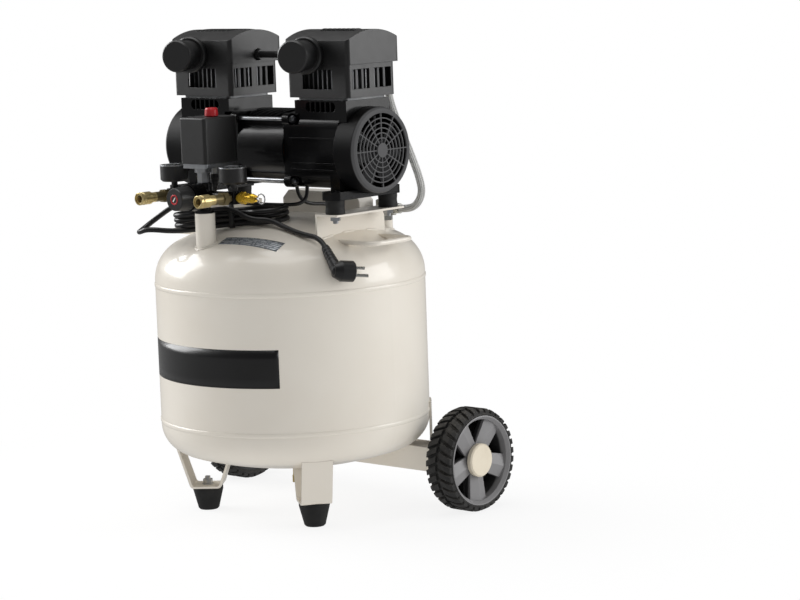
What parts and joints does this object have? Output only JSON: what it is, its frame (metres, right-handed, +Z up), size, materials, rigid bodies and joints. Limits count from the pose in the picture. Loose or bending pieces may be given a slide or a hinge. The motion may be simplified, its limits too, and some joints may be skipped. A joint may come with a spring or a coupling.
{
  "type": "oil-free air compressor",
  "caption": "Upright receiver tank on two rubber feet and two rear wheels, with a twin-cylinder oil-free motor pump on top and a front manifold with gauges, couplers and pressure switch",
  "frame": {"origin": "on the floor, at the middle of the whole machine's footprint between the coupler mouths in front and the tank's back", "axes": "+X to the right along the motor shaft and the wheel axles, +Y to the back where the wheels are, +Z up along the tank"},
  "size_m": [0.514, 0.422, 0.7104],
  "materials": {
    "tank_paint": "satin warm off-white paint",
    "black_paint": "semi-gloss black paint on castings",
    "black_plastic": "fine-grained black moulding",
    "dark_grey_plastic": "matte dark grey moulding",
    "aluminium": "as cast",
    "zinc_steel": "zinc-plated steel",
    "bright_steel": "ground bright steel",
    "brass": "turned brass",
    "rubber": "matte black rubber",
    "tyre": "moulded black tyre",
    "rim_grey": "moulded mid-grey plastic",
    "cap_cream": "cream moulded cap",
    "copper": "enamelled copper winding",
    "light_grey_box": "pale grey box",
    "foam": "open foam",
    "clear_lens": "clear window",
    "red_plastic": "red moulded knob",
    "cord_black": "black cord sheath",
    "braid": "braided steel sleeve"
  },
  "bodies": {
    "tank": {"tank_shell": "tank_paint", "tank_top_dome": "tank_paint", "tank_bottom_dome": "tank_paint", "tank_sockets": "tank_paint", "drain_valve_body": "brass", "leg_straps": "tank_paint", "rubber_feet": "rubber", "frame_fasteners": "zinc_steel", "axle_beam": "tank_paint", "wheel_axles": "zinc_steel", "saddle_brackets": "tank_paint", "carry_handles": "tank_paint", "rubber_mounts": "rubber", "motor_shell": "black_paint", "stator_core": "zinc_steel", "stator_windings": "copper", "crankcases": "black_paint", "shaft_bearings": "bright_steel", "cylinder_sleeves": "aluminium", "valve_plates": "aluminium", "finned_heads": "aluminium", "head_shrouds": "black_plastic", "head_caps": "black_plastic", "filter_housings": "black_plastic", "filter_covers": "black_plastic", "filter_elements": "foam", "fan_covers": "black_plastic", "air_fittings": "brass", "delivery_hose": "braid", "capacitor_box": "light_grey_box", "capacitors": "zinc_steel", "manifold": "black_paint", "coupler_bodies": "brass", "gauge_cases": "black_plastic", "gauge_lenses": "clear_lens", "safety_valve": "brass", "switch_base": "zinc_steel", "switch_cover": "black_plastic", "power_cord": "cord_black", "cord_hank": "cord_black", "power_plug": "cord_black"},
    "wheel_left": {"wheel_tyre_left": "tyre", "wheel_rim_left": "rim_grey", "hub_cap_left": "cap_cream"},
    "wheel_right": {"wheel_tyre_right": "tyre", "wheel_rim_right": "rim_grey", "hub_cap_right": "cap_cream"},
    "shaft": {"rotor": "aluminium", "crankshaft": "bright_steel", "cooling_fans": "dark_grey_plastic"},
    "piston_left": {"piston_left": "aluminium"},
    "piston_right": {"piston_right": "aluminium"},
    "drain_knob": {"drain_valve_knob": "brass"},
    "regulator_knob": {"regulator_knob": "black_plastic"},
    "sleeve_left": {"coupler_sleeve_left": "brass"},
    "sleeve_right": {"coupler_sleeve_right": "brass"},
    "needle_left": {"gauge_needle_left": "red_plastic"},
    "needle_right": {"gauge_needle_right": "red_plastic"},
    "safety_ring": {"safety_valve_ring": "bright_steel"},
    "switch_knob": {"switch_knob": "red_plastic"}
  },
  "joints": [
    {"name": "wheel_left_spin", "type": "hinge", "parent": "tank", "child": "wheel_left", "pos_m": [-0.2335, 0.1335, 0.076], "axis": [1, 0, 0], "continuous": true},
    {"name": "wheel_right_spin", "type": "hinge", "parent": "tank", "child": "wheel_right", "pos_m": [0.2335, 0.1335, 0.076], "axis": [1, 0, 0], "continuous": true},
    {"name": "shaft_spin", "type": "hinge", "parent": "tank", "child": "shaft", "pos_m": [0, 0.012, 0.53803], "axis": [1, 0, 0], "continuous": true},
    {"name": "piston_left_slide", "type": "slide", "parent": "tank", "child": "piston_left", "axis": [0, 0, 1], "range_m": [-0.006, 0.006]},
    {"name": "piston_right_slide", "type": "slide", "parent": "tank", "child": "piston_right", "axis": [0, 0, 1], "range_m": [-0.006, 0.006]},
    {"name": "drain_knob_turn", "type": "hinge", "parent": "tank", "child": "drain_knob", "pos_m": [0, 0.012, 0.04843], "axis": [0, 0, 1], "range_deg": [0, 180]},
    {"name": "regulator_turn", "type": "hinge", "parent": "tank", "child": "regulator_knob", "pos_m": [-0.019, -0.173, 0.47916], "axis": [0, -1, 0], "range_deg": [-360, 360]},
    {"name": "coupler_left_release", "type": "slide", "parent": "tank", "child": "sleeve_left", "axis": [0, 1, 0], "range_m": [0, 0.004], "stiffness_N_per_m": 300},
    {"name": "coupler_right_release", "type": "slide", "parent": "tank", "child": "sleeve_right", "axis": [0, 1, 0], "range_m": [0, 0.004], "stiffness_N_per_m": 300},
    {"name": "gauge_left_sweep", "type": "hinge", "parent": "tank", "child": "needle_left", "pos_m": [-0.079, -0.139, 0.51766], "axis": [0, 0, -1], "range_deg": [0, 270]},
    {"name": "gauge_right_sweep", "type": "hinge", "parent": "tank", "child": "needle_right", "pos_m": [0.041, -0.139, 0.51766], "axis": [0, 0, -1], "range_deg": [0, 270]},
    {"name": "safety_ring_pull", "type": "slide", "parent": "tank", "child": "safety_ring", "axis": [1, 0, 0], "range_m": [0, 0.003], "stiffness_N_per_m": 400},
    {"name": "switch_knob_pull", "type": "slide", "parent": "tank", "child": "switch_knob", "axis": [0, 0, 1], "range_m": [0, 0.006]}
  ]
}
